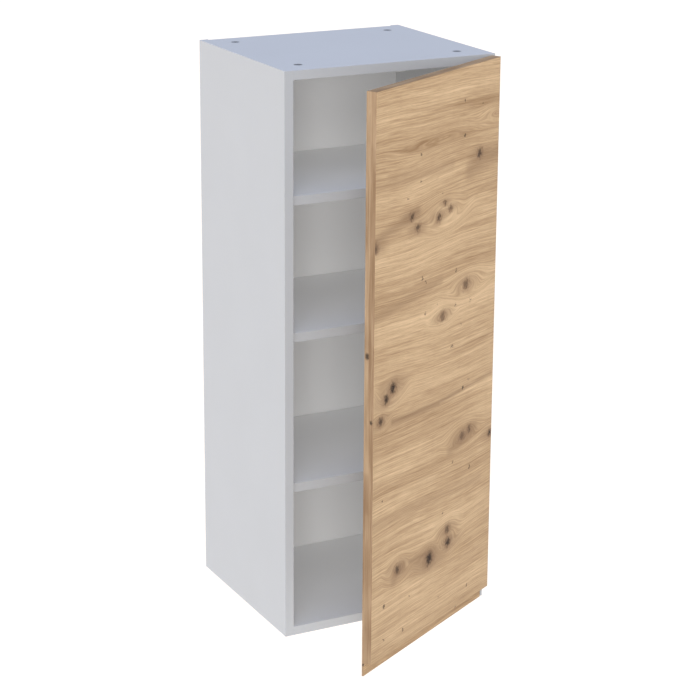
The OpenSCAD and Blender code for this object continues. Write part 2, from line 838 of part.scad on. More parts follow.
left_side();
right_side();
top_panel();
bottom_panel();
back_panel();
lower_shelf();
middle_shelf();
upper_shelf();
side_edge_bands();
top_and_bottom_edge_bands();
shelf_edge_bands();
cam_locks();
cam_bolts();
wooden_dowels();
shelf_pins();
door_board();
door_free_edge_band();
door_hinge_edge_band();
door_top_edge_band();
door_bumpers();
hinge_cup(hinge_zs[0]);  // hinge_cup_low
hinge_cup(hinge_zs[1]);  // hinge_cup_middle
hinge_cup(hinge_zs[2]);  // hinge_cup_high
hinge_arm(hinge_zs[0]);  // hinge_arm_low
hinge_arm(hinge_zs[1]);  // hinge_arm_middle
hinge_arm(hinge_zs[2]);  // hinge_arm_high
mounting_plate(hinge_zs[0]);  // mounting_plate_low
mounting_plate(hinge_zs[1]);  // mounting_plate_middle
mounting_plate(hinge_zs[2]);  // mounting_plate_high
outer_link(hinge_zs[0]);  // outer_link_low
outer_link(hinge_zs[1]);  // outer_link_middle
outer_link(hinge_zs[2]);  // outer_link_high
inner_link(hinge_zs[0]);  // inner_link_low
inner_link(hinge_zs[1]);  // inner_link_middle
inner_link(hinge_zs[2]);  // inner_link_high
arm_pivot_pins();
cup_outer_pivot_pins();
cup_inner_pivot_pins();
sliding_pivot_pins();
hinge_springs();
hinge_cup_screws();
mounting_plate_screws();
hinge_adjusting_screws();
hanger_body_left();
hanger_body_right();
hanger_cover_left();
hanger_cover_right();
hanger_hook_left();
hanger_hook_right();
hanger_adjusting_screws();
hanger_plugs();
wall_rail();
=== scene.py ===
# %% [markdown]
# # A tall wall cabinet with a knotty oak door
# The cabinet is a grey melamine carcass with three shelves, a door on three concealed hinges and two
# hangers that hook on a steel wall rail. The engineering model gives every piece's place, so this script
# only adds what a maker's hand and a finish add: softened edges, grain, plating, light and a camera.

# %% Load the frame
import json
import math

import bpy
from mathutils import Euler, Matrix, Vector

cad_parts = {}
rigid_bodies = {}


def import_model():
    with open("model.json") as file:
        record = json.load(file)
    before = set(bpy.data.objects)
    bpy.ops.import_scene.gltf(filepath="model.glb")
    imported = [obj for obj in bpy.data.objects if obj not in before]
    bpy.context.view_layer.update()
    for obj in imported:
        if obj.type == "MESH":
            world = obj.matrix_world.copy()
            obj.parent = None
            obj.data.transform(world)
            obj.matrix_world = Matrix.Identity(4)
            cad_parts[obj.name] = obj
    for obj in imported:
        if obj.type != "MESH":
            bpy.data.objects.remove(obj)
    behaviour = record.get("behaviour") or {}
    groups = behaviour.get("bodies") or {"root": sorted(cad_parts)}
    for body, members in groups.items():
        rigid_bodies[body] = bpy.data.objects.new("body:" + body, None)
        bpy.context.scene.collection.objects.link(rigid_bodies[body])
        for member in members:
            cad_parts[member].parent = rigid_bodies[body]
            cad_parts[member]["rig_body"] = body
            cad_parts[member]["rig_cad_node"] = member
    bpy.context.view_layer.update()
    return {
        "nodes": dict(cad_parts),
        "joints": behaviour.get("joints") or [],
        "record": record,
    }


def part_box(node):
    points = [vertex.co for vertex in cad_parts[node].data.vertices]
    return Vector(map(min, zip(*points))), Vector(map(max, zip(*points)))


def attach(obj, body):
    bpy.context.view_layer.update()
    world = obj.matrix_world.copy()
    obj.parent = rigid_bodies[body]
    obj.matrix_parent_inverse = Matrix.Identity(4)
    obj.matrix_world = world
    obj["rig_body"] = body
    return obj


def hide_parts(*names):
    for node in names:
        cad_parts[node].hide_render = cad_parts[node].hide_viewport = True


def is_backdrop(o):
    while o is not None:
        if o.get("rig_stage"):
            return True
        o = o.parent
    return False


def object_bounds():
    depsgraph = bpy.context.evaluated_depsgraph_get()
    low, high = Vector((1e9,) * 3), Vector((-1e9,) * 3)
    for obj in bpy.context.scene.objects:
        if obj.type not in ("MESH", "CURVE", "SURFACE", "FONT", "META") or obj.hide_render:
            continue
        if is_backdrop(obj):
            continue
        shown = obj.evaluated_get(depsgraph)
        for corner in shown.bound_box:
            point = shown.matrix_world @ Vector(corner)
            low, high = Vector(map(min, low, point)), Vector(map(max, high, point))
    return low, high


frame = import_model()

record = frame["record"]

# %% [markdown]
# The places that the finishes need come from the frame. The door stands open in the frame, and its angle
# is what the hinge's leading joint has left to close, shared between the door and the outer link it rides
# on. The door's own corner then follows from the box of the band on its free edge.

# %% Measure the carcass and the door
MM = 0.001
side_low, side_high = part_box("left_side")
wall_y = side_high.y
bottom_z = side_low.z

joints = {joint["name"]: joint for joint in frame["joints"]}
shares = {c["joint"]: c["ratio"] for c in record["behaviour"]["couplings"]}
opening = math.radians(-joints["door_turn"]["range_deg"][0] * (1 + shares["outer_link_turn"]))

strip_low, strip_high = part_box("door_free_edge_band")
strip = strip_high - strip_low
door_t = (strip.y * math.cos(opening) - strip.x * math.sin(opening)) / math.cos(2 * opening)
door_corner = Vector((strip_low.x + door_t * math.sin(opening), strip_low.y, bottom_z))
print("door open", round(math.degrees(opening), 2), "degrees, thickness", round(door_t / MM, 2), "mm")

# %% [markdown]
# ## Shader helpers
# A finish is a tree of nodes, and most of the tree is arithmetic. Drawn by hand it is a tangle of wires,
# so a small class wraps one output and lets Python's own signs add the Math nodes. Everything else comes
# from one method that takes a node's type, its settings and the values of its sockets.

# %% A wire that can be used in sums
class Wire:
    def __init__(self, finish, socket):
        self.finish = finish
        self.socket = socket

    def maths(self, operation, *values):
        return self.finish.node("ShaderNodeMath", {"operation": operation}, dict(enumerate(values)))

    def __add__(self, other):
        return self.maths("ADD", self, other)

    def __sub__(self, other):
        return self.maths("SUBTRACT", self, other)

    def __rsub__(self, other):
        return self.maths("SUBTRACT", other, self)

    def __mul__(self, other):
        return self.maths("MULTIPLY", self, other)

    def __truediv__(self, other):
        return self.maths("DIVIDE", self, other)

    def __pow__(self, other):
        return self.maths("POWER", self, other)

    def at_least(self, other):
        return self.maths("MAXIMUM", self, other)

    def clamped(self):
        return self.maths("MAXIMUM", self.maths("MINIMUM", self, 1), 0)

    __radd__ = __add__
    __rmul__ = __mul__


# %% A finish, its nodes and the few patterns that all finishes share
class Finish:
    def __init__(self, name, **constants):
        self.material = bpy.data.materials.new(name)
        self.material.use_nodes = True
        self.tree = self.material.node_tree
        self.tree.nodes.clear()
        self.shader = self.tree.nodes.new("ShaderNodeBsdfPrincipled")
        end = self.tree.nodes.new("ShaderNodeOutputMaterial")
        self.tree.links.new(self.shader.outputs["BSDF"], end.inputs["Surface"])
        for socket, value in constants.items():
            self.give(socket.replace("_", " "), value)

    def plug(self, socket, value):
        if isinstance(value, Wire):
            self.tree.links.new(value.socket, socket)
        else:
            socket.default_value = value

    def give(self, socket, value):
        self.plug(self.shader.inputs[socket], value)

    def node(self, kind, settings, values, output=0):
        made = self.tree.nodes.new(kind)
        for name, value in settings.items():
            if name == "stops":
                ramp = made.color_ramp
                for place, _ in value[2:]:
                    ramp.elements.new(place)
                for element, (place, colour) in zip(ramp.elements, value):
                    element.position = place
                    element.color = colour
            else:
                setattr(made, name, value)
        for socket, value in values.items():
            self.plug(made.inputs[socket], value)
        return Wire(self, made.outputs[output])

    def place(self, origin=(0, 0, 0), turn=0):
        """Where a point of the piece is, in metres, from an origin and turned about the vertical."""
        here = self.node("ShaderNodeTexCoord", {}, {}, "Object")
        here = self.node("ShaderNodeMapping", {"vector_type": "TEXTURE"},
                         {"Vector": here, "Location": origin, "Rotation": (0, 0, turn)})
        return [self.node("ShaderNodeSeparateXYZ", {}, {0: here}, axis) for axis in "XYZ"]

    def vector(self, x, y, z=0):
        return self.node("ShaderNodeCombineXYZ", {}, {0: x, 1: y, 2: z})

    def noise(self, x, y, z=0, detail=2, rough=0.5):
        """Soft noise around 0.5. Each coordinate comes already multiplied by its changes in a metre."""
        return self.node("ShaderNodeTexNoise", {},
                         {"Vector": self.vector(x, y, z), "Scale": 1, "Detail": detail, "Roughness": rough})

    def cloud(self, place, times, detail=2, rough=0.5):
        """Soft noise that changes so many times in a metre along X, along Y and along Z."""
        x, y, z = (part * often for part, often in zip(place, times))
        return self.noise(x, y, z, detail, rough)

    def fade(self, value, start, end):
        """1 below start, 0 above end and smooth between."""
        return self.node("ShaderNodeMapRange", {"interpolation_type": "SMOOTHSTEP"},
                         {"Value": value, "From Min": start, "From Max": end, "To Min": 1, "To Max": 0})

    def blend(self, share, first, second):
        """A colour that goes from first to second as share goes from 0 to 1."""
        return self.node("ShaderNodeMix", {"data_type": "RGBA"}, {0: share, 6: first, 7: second}, 2)

    def ramp(self, value, stops):
        return self.node("ShaderNodeValToRGB", {"stops": stops}, {0: value})

    def relief(self, height, depth, strength):
        self.give("Normal", self.node("ShaderNodeBump", {},
                                      {"Height": height, "Distance": depth, "Strength": strength}))


def paint(red, green, blue):
    """A colour as it looks on a screen, 0 to 255, made linear for the shader."""
    def linear(part):
        part = part / 255
        return part / 12.92 if part < 0.04045 else ((part + 0.055) / 1.055) ** 2.4
    return (linear(red), linear(green), linear(blue), 1)


print("white is", paint(255, 255, 255))

# %% [markdown]
# ## Grey melamine
# The carcass boards are chipboard pressed between sheets of melamine paper. The face is a light grey with
# a fine pearl texture that breaks up the shine, so the finish is a nearly flat colour, a faint cloudiness
# and a fine relief. Rear edges are left raw, and there the chips show: a mask takes them from the
# surface's own direction, which is safe because these boards never turn.

# %% Melamine facing over a chipboard core
GREY = paint(200, 200, 200)
GREY_SHADE = paint(196, 196, 196)
RAW_DEPTH = 12 * MM  # raw edges lie within this distance of the wall
RAW_CHIPS = [(0.30, paint(122, 88, 55)), (0.75, paint(221, 190, 148)),
             (0.45, paint(173, 134, 92)), (0.60, paint(199, 163, 120))]


def melamine(name, light, shade, raw_rear):
    finish = Finish(name, IOR=1.5)
    place = finish.place()
    pearl = finish.cloud(place, (1500, 1500, 1500), detail=1)
    colour = finish.blend(finish.cloud(place, (9, 9, 9)), light, shade)
    rough = 0.40 + 0.10 * pearl
    height = pearl
    if raw_rear:
        facing = finish.node("ShaderNodeSeparateXYZ", {},
                             {0: finish.node("ShaderNodeTexCoord", {}, {}, "Normal")}, "Y")
        rear = finish.fade(0.6 - facing, 0, 0.1) * finish.fade(wall_y - RAW_DEPTH - place[1], 0, MM)
        chips = finish.cloud(place, (420, 420, 130), detail=3, rough=0.7)
        colour = finish.blend(rear, colour, finish.ramp(chips, RAW_CHIPS))
        rough = rough + rear * 0.4
        height = height + rear * chips * 6
    finish.give("Base Color", colour)
    finish.give("Roughness", rough)
    finish.relief(height, 0.00004, 0.5)
    return finish.material


finishes = {
    "grey_board": melamine("Grey melamine", GREY, GREY_SHADE, True),
    # The edge band's grey is set darker than the boards' grey as painted shade, so the banded front edges
    # come out darker than the left side.
    "grey_edge_band": melamine("Grey edge band with painted shade", paint(173, 174, 175), paint(169, 170, 171), False),
    "back_board": melamine("Grey lacquered fibreboard", paint(213, 213, 213), paint(210, 210, 210), False),
}
print("carcass finishes", list(finishes))

# %% [markdown]
# ## Knotty oak
# The door is faced with a printed and embossed oak decor whose grain runs across it. The grain could be a
# picture, but a picture repeats and blurs, so it is worked out. One number, the ring, says which growth
# ring a point lies in. On plain wood it is just the height up the door, swayed by slow noise. Round a
# knot the rings are drawn into ovals, which is what a branch does to the real tree. Every line of the
# grain, coarse or fine, is then noise on the ring, stretched along the grain, so all of them flow round
# the knots together.

# %% Knots and streaks on the door's face, in metres from its free edge and the cabinet's bottom
EYES = [  # along, up, reach along, reach up
    (0.220, 0.764, 0.085, 0.036),
    (0.300, 0.622, 0.080, 0.030),
    (0.215, 0.585, 0.050, 0.026),
    (0.055, 0.495, 0.050, 0.030),
    (0.022, 0.452, 0.035, 0.022),
    (0.295, 0.350, 0.070, 0.030),
    (0.247, 0.176, 0.055, 0.036),
    (0.180, 0.156, 0.040, 0.026),
    (0.083, 0.172, 0.045, 0.030),
    (0.390, 0.906, 0.090, 0.022),
    (0.200, 0.893, 0.160, 0.014),
]
LARGE_KNOTS = [  # along, up, radius, darkness
    (0.200, 0.760, 0.008, 0.8), (0.237, 0.768, 0.006, 0.5), (0.219, 0.781, 0.005, 0.6),
    (0.113, 0.779, 0.008, 0.7), (0.132, 0.757, 0.008, 0.7), (0.295, 0.623, 0.010, 0.5),
    (0.217, 0.585, 0.009, 0.4), (0.060, 0.500, 0.013, 1.0), (0.040, 0.486, 0.011, 0.9),
    (0.023, 0.452, 0.009, 0.8), (0.316, 0.354, 0.008, 0.6), (0.292, 0.348, 0.010, 0.4),
    (0.391, 0.325, 0.008, 0.9), (0.247, 0.188, 0.009, 0.6), (0.249, 0.163, 0.011, 0.9),
    (0.186, 0.154, 0.016, 1.0), (0.082, 0.170, 0.010, 0.7), (0.332, 0.846, 0.009, 0.8),
    (0.002, 0.749, 0.009, 0.5),
]
PIN_KNOTS = [
    (0.28, 0.945), (0.34, 0.931), (0.14, 0.877), (0.28, 0.886), (0.14, 0.833), (0.21, 0.799),
    (0.10, 0.810), (0.15, 0.668), (0.16, 0.658), (0.26, 0.655), (0.31, 0.591), (0.16, 0.602),
    (0.20, 0.610), (0.26, 0.595), (0.28, 0.555), (0.25, 0.522), (0.31, 0.447), (0.29, 0.438),
    (0.26, 0.308), (0.32, 0.283), (0.03, 0.309), (0.23, 0.224), (0.12, 0.109), (0.04, 0.118),
    (0.22, 0.069), (0.32, 0.056), (0.10, 0.052), (0.28, 0.028), (0.13, 0.015), (0.04, 0.056),
]
STREAKS = [  # from, to, half width, strength
    ((0.39, 0.440), (0.20, 0.434), 0.007, 0.55),
    ((0.21, 0.433), (0.06, 0.442), 0.008, 0.60),
    ((0.12, 0.171), (0.19, 0.167), 0.006, 0.55),
    ((0.30, 0.820), (0.40, 0.835), 0.026, 0.50),
    ((0.00, 0.762), (0.13, 0.786), 0.016, 0.50),
    ((0.00, 0.628), (0.21, 0.650), 0.014, 0.35),
    ((0.00, 0.850), (0.24, 0.842), 0.016, 0.25),
    ((0.25, 0.335), (0.33, 0.350), 0.018, 0.40),
    ((0.07, 0.155), (0.10, 0.172), 0.016, 0.45),
    ((0.00, 0.275), (0.35, 0.250), 0.020, 0.25),
]
OAK_TONES = [(0.14, paint(144, 109, 70)), (0.88, paint(221, 189, 147)),
             (0.34, paint(179, 143, 100)), (0.50, paint(198, 163, 119)), (0.66, paint(209, 176, 132))]
GRAIN_LAYERS = {  # changes in a metre along, across and through the grain, detail, roughness, share
    "broad": (1.3, 13, 6, 2, 0.50, 0.95),
    "growth": (1.6, 110, 6, 3, 0.65, 0.45),
    "fine": (5, 340, 20, 2, 0.60, 0.80),
    "fibre": (24, 1100, 60, 1, 0.50, 0.65),
}
LATE_WOOD = paint(146, 111, 76)
PORE_TONE = paint(146, 112, 76)
KNOT_HEART = paint(46, 29, 15)
PIN_DARKNESS = 0.8
KNOT_RIM = paint(122, 90, 61)
STREAK_TONE = paint(128, 96, 64)
print(len(EYES), "eyes,", len(LARGE_KNOTS) + len(PIN_KNOTS), "knots and", len(STREAKS), "streaks")


# %% [markdown]
# The lists above place what the eye finds first on the door. They are a table, not a rule: a scratch
# script turned points read off the photo into metres, and the lists repeat or follow what it gave. A rule
# for the pin knots and a few main knots set by hand would serve as well. The functions below turn the
# lists into masks. A knot is the distance to a point: the feathered zone round it is squeezed so that it
# runs long along the grain, and its heart is a little taller than it is long. A streak is the distance to
# a line.

# %% Masks for knots and streaks
FEATHER = (0.40, 2.4)  # how a zone is squeezed along the grain, and how many of the knot's radii it reaches
RIM = (0.85, 1.7)
HEART = (1.15, 1)
PIN = (1, 1)
BAND_HEART = (1.5, 1)


def knot_mask(finish, along, up, zone, knot, radius):
    squeeze, reach = zone
    away = finish.node("ShaderNodeVectorMath", {"operation": "DISTANCE"},
                       {0: finish.vector(along * squeeze, up), 1: (knot[0] * squeeze, knot[1], 0)}, "Value")
    return finish.fade(away, radius * reach * 0.25, radius * reach)


def streak_mask(finish, along, up, start, end, width):
    run, rise = end[0] - start[0], end[1] - start[1]
    ahead, over = along - start[0], up - start[1]
    share = ((ahead * run + over * rise) / (run * run + rise * rise)).clamped()
    aside = finish.node("ShaderNodeVectorMath", {"operation": "LENGTH"},
                        {0: finish.vector(ahead - share * run, over - share * rise)}, "Value")
    return finish.fade(aside, 0, width)


# %% [markdown]
# The finish itself: first the ring, then the tones laid on it from coarse to fine, then knots over them.
# Sunk pores keep it from looking printed.

# %% The oak decor on the door's faces
SWAY = 0.050  # metres that the slow sway moves a ring
RIPPLE = 0.003
RISE_ALONG = 0.03
EYE_SPREAD = 0.60
EYE_STRENGTH = 0.9
LATE_LINES = 170  # half turns of light to dark in a metre across the grain
LATE_SHARPNESS = 12
RAGGED = 0.016


def oak_face():
    finish = Finish("Knotty oak decor", IOR=1.45)
    along, deep, up = finish.place(door_corner, opening)
    sway = finish.noise(along * 2.3, up * 4.1, deep * 5 + 3.7, detail=1) - 0.5
    ripple = finish.noise(along * 10, up * 24, 8.1, detail=2) - 0.5
    ring = up + sway * SWAY + ripple * RIPPLE + along * RISE_ALONG
    ovals = 0
    for middle, height, reach, rise in EYES:
        sideways = (along - middle + ripple * 0.020) / reach
        over = (up - height + ripple * 0.010) / rise
        square = sideways * sideways + over * over
        near = finish.fade(square, 0.0, 1.5)
        oval = square ** 0.5 * (rise * EYE_SPREAD) + height
        ring = ring + near * EYE_STRENGTH * (oval - ring)
        ovals = near.at_least(ovals)

    layers = {}
    tone = 0.5
    for layer, (long, across, through, detail, rough, share) in GRAIN_LAYERS.items():
        layers[layer] = finish.cloud((along, ring, deep), (long, across, through), detail, rough)
        tone = tone + (layers[layer] - 0.5) * share
    growth, fine, fibre = layers["growth"], layers["fine"], layers["fibre"]
    colour = finish.ramp(tone, OAK_TONES)

    late = finish.node("ShaderNodeMath", {"operation": "PINGPONG"},
                       {0: ring * LATE_LINES + growth * 1.3, 1: 1})
    late = late ** LATE_SHARPNESS * finish.noise(along * 4, up * 9, 1.3) * (0.40 + ovals * 0.70)
    colour = finish.blend(late.clamped(), colour, LATE_WOOD)

    dark = 0
    for start, end, width, strength in STREAKS:
        streak = streak_mask(finish, along, up + sway * 0.02 + ripple * 0.006, start, end, width)
        dark = (streak * strength).at_least(dark)
    colour = finish.blend((dark * (0.20 + growth * 1.4)).clamped(), colour, STREAK_TONE)

    jitter = finish.noise(along * 200, up * 160, 2.2, detail=2) - 0.5
    jitter_up = finish.noise(along * 200, up * 160, 7.9, detail=2) - 0.5
    ragged, ragged_up = along + jitter * RAGGED, up + jitter_up * RAGGED
    feather, rim, heart = 0, 0, 0
    for middle, height, radius, darkness in LARGE_KNOTS:
        knot = (middle, height)
        feather = knot_mask(finish, along, up + ripple * 0.012, FEATHER, knot, radius).at_least(feather)
        rim = knot_mask(finish, ragged, ragged_up, RIM, knot, radius).at_least(rim)
        heart = (knot_mask(finish, ragged, ragged_up, HEART, knot, radius) * darkness).at_least(heart)
    for turn, knot in enumerate(PIN_KNOTS):
        radius = (2.6 + 0.5 * (turn % 4)) * MM
        heart = (knot_mask(finish, ragged, ragged_up, PIN, knot, radius) * PIN_DARKNESS).at_least(heart)
    colour = finish.blend((feather * growth * 0.75).clamped(), colour, STREAK_TONE)
    colour = finish.blend((rim * (0.25 + fine * 0.9)).clamped(), colour, KNOT_RIM)
    colour = finish.blend((heart * (1.0 + jitter_up * 0.9)).clamped(), colour, KNOT_HEART)

    pores = finish.fade(finish.noise(along * 60, ring * 1500, deep * 90, detail=0), 0.30, 0.40)
    colour = finish.blend(pores * 0.22, colour, PORE_TONE)
    finish.give("Base Color", colour)
    finish.give("Roughness", 0.50 + fine * 0.14 + heart * 0.20)
    finish.relief(fibre * 0.5 + fine * 0.5 - pores * 0.8 - heart * 1.5, 0.00012, 0.35)
    return finish.material


# %% [markdown]
# The edges are closed with a narrow band of the same decor, whose grain runs along the band. The band on
# the free edge is the one that is looked at: it has a dark growth line a little nearer to the front than
# to the middle and a few knots of its own.

# %% The oak bands on the door's edges
BAND_TONES = [(0.25, paint(134, 104, 73)), (0.78, paint(179, 150, 117)), (0.50, paint(160, 130, 98))]
BAND_LINE = 7.2 * MM  # from the front to the dark growth line
BAND_KNOTS = [(0.0125, 0.568, 0.0085), (0.004, 0.456, 0.0055), (0.015, 0.022, 0.0040)]


def oak_band(name, upright):
    finish = Finish(name, IOR=1.45)
    along, deep, up = finish.place(door_corner, opening)
    run, across = (up, along) if upright else (along, up)
    sway = finish.noise(run * 5, deep * 9, across * 9, detail=2) - 0.5
    ring = deep + across * 0.4 + sway * 0.010
    growth = finish.noise(run * 4, ring * 420, across * 60, detail=3, rough=0.6)
    fibre = finish.noise(run * 60, ring * 2600, across * 90, detail=1)
    slow = finish.noise(run * 9, ring * 60, 4.4, detail=1)
    tone = 0.5 + (growth - 0.5) * 1.1 + (fibre - 0.5) * 0.4 + (slow - 0.5) * 1.0
    colour = finish.ramp(tone, BAND_TONES)
    if upright:
        from_line = deep - BAND_LINE + sway * 0.003
        line = finish.fade((from_line * from_line) ** 0.5, 0.0002, 0.0009)
        colour = finish.blend(line * 0.45, colour, paint(138, 104, 72))
        jitter = finish.noise(deep * 500, up * 300, 3.1, detail=2) - 0.5
        heart = 0
        for inward, height, radius in BAND_KNOTS:
            knot = knot_mask(finish, deep + jitter * 0.004, up, BAND_HEART, (inward, height), radius)
            heart = knot.at_least(heart)
        shade = streak_mask(finish, deep, up, (0.012, 0.30), (0.012, 0.36), 0.010)
        colour = finish.blend(shade * 0.35, colour, KNOT_RIM)
        colour = finish.blend((heart * 0.9).clamped(), colour, KNOT_HEART)
    finish.give("Base Color", colour)
    finish.give("Roughness", 0.52 + growth * 0.1)
    finish.relief(fibre + growth, 0.00008, 0.3)
    return finish.material


finishes["oak_decor"] = oak_face()
finishes["oak_edge_band"] = oak_band("Oak edge band", True)
oak_top_band = oak_band("Oak top band", False)
print("oak nodes", len(finishes["oak_decor"].node_tree.nodes), "for the faces")

# %% [markdown]
# ## Metals, plastics, rubber and beech
# The fittings are zinc or nickel plated steel. Plating follows the steel under it, so it is a metal whose
# roughness wanders: a drawn grain on sheet, a grainy skin on castings. The small plastic and beech pieces
# get the marks of how they are made.

# %% Plated steel and cast zinc
def plated(name, light, dark, rough, stretch, depth):
    finish = Finish(name)
    finish.give("Metallic", 1)
    place = finish.place()
    drawn = finish.cloud(place, stretch, rough=0.6)
    cloud = finish.cloud(place, (60, 60, 60))
    finish.give("Base Color", finish.blend(cloud, dark, light))
    finish.give("Roughness", rough + (drawn - 0.5) * 0.22 + (cloud - 0.5) * 0.15)
    finish.relief(drawn, depth, 0.4)
    return finish.material


finishes["zinc_plated_steel"] = plated("Zinc plated steel", paint(214, 217, 222), paint(190, 195, 203),
                                       0.34, (300, 1600, 1600), 0.00003)
finishes["nickel_plated_steel"] = plated("Nickel plated steel", paint(219, 216, 208), paint(196, 192, 183),
                                         0.27, (900, 900, 2600), 0.00002)
finishes["zinc_casting"] = plated("Cast zinc", paint(188, 190, 194), paint(158, 161, 166),
                                  0.46, (1200, 1200, 1200), 0.00006)


# %% Moulded plastic, soft rubber and turned beech
def moulded(name, light, shade, rough, soft):
    finish = Finish(name)
    if soft:
        finish.give("Subsurface Weight", 0.15)
        finish.give("Subsurface Radius", (0.002, 0.002, 0.002))
    place = finish.place()
    grain = finish.cloud(place, (2200, 2200, 2200), detail=1)
    flow = finish.cloud(place, (25, 25, 70))
    finish.give("Base Color", finish.blend(flow, light, shade))
    finish.give("Roughness", rough + (grain - 0.5) * 0.12)
    finish.relief(grain, 0.00003, 0.4)
    return finish.material


def beech():
    finish = Finish("Turned beech")
    place = finish.place()
    grain = finish.cloud(place, (40, 700, 700), detail=3)
    flecks = finish.fade(finish.cloud(place, (260, 1500, 1500), detail=0), 0.32, 0.40)
    colour = finish.blend(grain, paint(222, 186, 142), paint(198, 158, 113))
    finish.give("Base Color", finish.blend(flecks * 0.5, colour, paint(160, 115, 75)))
    finish.give("Roughness", 0.55 + grain * 0.15)
    finish.relief(grain, 0.00005, 0.4)
    return finish.material


finishes["white_plastic"] = moulded("White moulded plastic", paint(238, 238, 236), paint(232, 232, 229),
                                    0.42, False)
finishes["clear_rubber"] = moulded("Soft clear bumper", paint(222, 225, 228), paint(206, 210, 214),
                                   0.30, True)
finishes["beech"] = beech()
print("finishes", len(finishes) + 1)

# %% [markdown]
# ## Softened edges
# Nothing made has a perfectly sharp edge: banded boards are trimmed to a small radius and pressed steel
# is tumbled. A Bevel shader node could fake it, but it is lost in an export and never changes the
# outline. So each piece is a copy of its frame node, whose loose triangles are merged and dissolved back
# into whole faces, and a Bevel modifier then rounds the sharp edges. The copy stands for the node and
# rides on its body.

# %% A softened copy of a frame node
MERGE = 0.002 * MM
FLAT_FACE = math.radians(0.4)
SMOOTH_TURN = math.radians(30)
CORNER = 35  # degrees at which faces of a flat piece meet in an edge to round
ROUND_CORNER = 50  # the same on a turned or pressed piece, whose curved side has facets
slot_of = {part["node"]: part["material_slot"] for part in record["subparts"]}
body_of_node = {node: body for body, nodes in record["behaviour"]["bodies"].items() for node in nodes}
made = {}


def choose(piece):
    bpy.ops.object.select_all(action="DESELECT")
    piece.hide_set(False)
    piece.select_set(True)
    bpy.context.view_layer.objects.active = piece


def dress(piece, node, finish=None):
    """Gives a finished piece its finish, its place on the moving body and the node it stands for."""
    piece.data.materials.clear()
    piece.data.materials.append(finish or finishes[slot_of[node]])
    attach(piece, body_of_node[node])
    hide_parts(node)
    made[piece.name] = len(piece.data.polygons)
    return piece


def softened(node, name, radius, steps=2, finish=None, sharp=CORNER):
    choose(frame["nodes"][node])
    bpy.ops.object.duplicate()
    piece = bpy.context.view_layer.objects.active
    piece.name = piece.data.name = name
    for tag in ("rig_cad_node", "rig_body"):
        if tag in piece:
            del piece[tag]
    piece.parent = None
    bpy.ops.object.mode_set(mode="EDIT")
    bpy.ops.mesh.select_all(action="SELECT")
    bpy.ops.mesh.remove_doubles(threshold=MERGE)
    bpy.ops.mesh.dissolve_limited(angle_limit=FLAT_FACE)
    bpy.ops.object.mode_set(mode="OBJECT")
    bpy.ops.object.shade_smooth_by_angle(angle=SMOOTH_TURN)
    round_over = piece.modifiers.new("Round over", "BEVEL")
    round_over.width = radius
    round_over.segments = steps
    round_over.limit_method = "ANGLE"
    round_over.angle_limit = math.radians(sharp)
    round_over.use_clamp_overlap = False
    round_over.harden_normals = True
    bpy.ops.object.modifier_apply(modifier=round_over.name)
    return dress(piece, node, finish)


# %% [markdown]
# ## The carcass
# Two sides, a top, a bottom and three shelves, each with its banded front edge. The boards get a radius
# of under half a millimetre, as an edge trimmer leaves, so that the joints between them show as fine
# lines.

# %% Boards, back and bands
for node in ("left_side", "right_side", "top_panel", "bottom_panel"):
    softened(node, "board_" + node, 0.25 * MM)
for node in ("lower_shelf", "middle_shelf", "upper_shelf"):
    softened(node, "board_" + node, 0.25 * MM)
softened("back_panel", "lacquered_back", 0.3 * MM)
for node in ("side_edge_bands", "top_and_bottom_edge_bands", "shelf_edge_bands"):
    softened(node, "trimmed_" + node, 0.25 * MM)
print("carcass pieces", len(made))

# %% [markdown]
# ## The fittings in the boards
# Cams and bolts draw the boards together, dowels keep them level and pins carry the shelves. They are
# small turned or cast pieces, so each gets a radius that suits its size.

# %% Cams, bolts and shelf pins
softened("cam_locks", "cast_cams", 0.2 * MM, sharp=ROUND_CORNER)
softened("cam_bolts", "turned_cam_bolts", 0.25 * MM, sharp=ROUND_CORNER)
softened("shelf_pins", "turned_shelf_pins", 0.3 * MM, sharp=ROUND_CORNER)

# %% [markdown]
# A real dowel has flutes that let the glue out and a chamfer that finds the hole. It is modelled once
# from a cylinder: every other face round it is inset and pushed in, and both ends are inset and pushed
# out. The copies stand at the eight corners of the dowel node's box.

# %% Fluted dowels
DOWEL_RADIUS = 4 * MM
DOWEL_LENGTH = 30 * MM
DOWEL_CHAMFER = 1 * MM
FLUTES = 12
FLUTE_RIM = 0.25 * MM
FLUTE_DEPTH = 0.35 * MM
FLUTE_SLACK = 0.1 * MM


def is_flute(normal):
    around = math.atan2(normal.z, normal.y) / (math.pi / FLUTES)
    return abs(normal.x) < 0.5 and round(around - 0.5) % 2 == 0


def is_end(normal):
    return abs(normal.x) > 0.9


def inset_faces(piece, wanted, thickness, depth):
    bpy.ops.object.mode_set(mode="EDIT")
    bpy.ops.mesh.select_all(action="DESELECT")
    bpy.ops.object.mode_set(mode="OBJECT")
    for face in piece.data.polygons:
        face.select = wanted(face.normal)
    bpy.ops.object.mode_set(mode="EDIT")
    bpy.ops.mesh.inset(thickness=thickness, depth=depth, use_individual=True)
    bpy.ops.object.mode_set(mode="OBJECT")


def fluted_dowel():
    bpy.ops.object.select_all(action="DESELECT")
    bpy.ops.mesh.primitive_cylinder_add(vertices=2 * FLUTES, radius=DOWEL_RADIUS - FLUTE_SLACK,
                                        depth=DOWEL_LENGTH - 2 * DOWEL_CHAMFER,
                                        rotation=(0, math.pi / 2, 0))
    bpy.ops.object.transform_apply(rotation=True)
    piece = bpy.context.object
    inset_faces(piece, is_flute, FLUTE_RIM, -FLUTE_DEPTH)
    inset_faces(piece, is_end, DOWEL_CHAMFER, DOWEL_CHAMFER)
    return piece


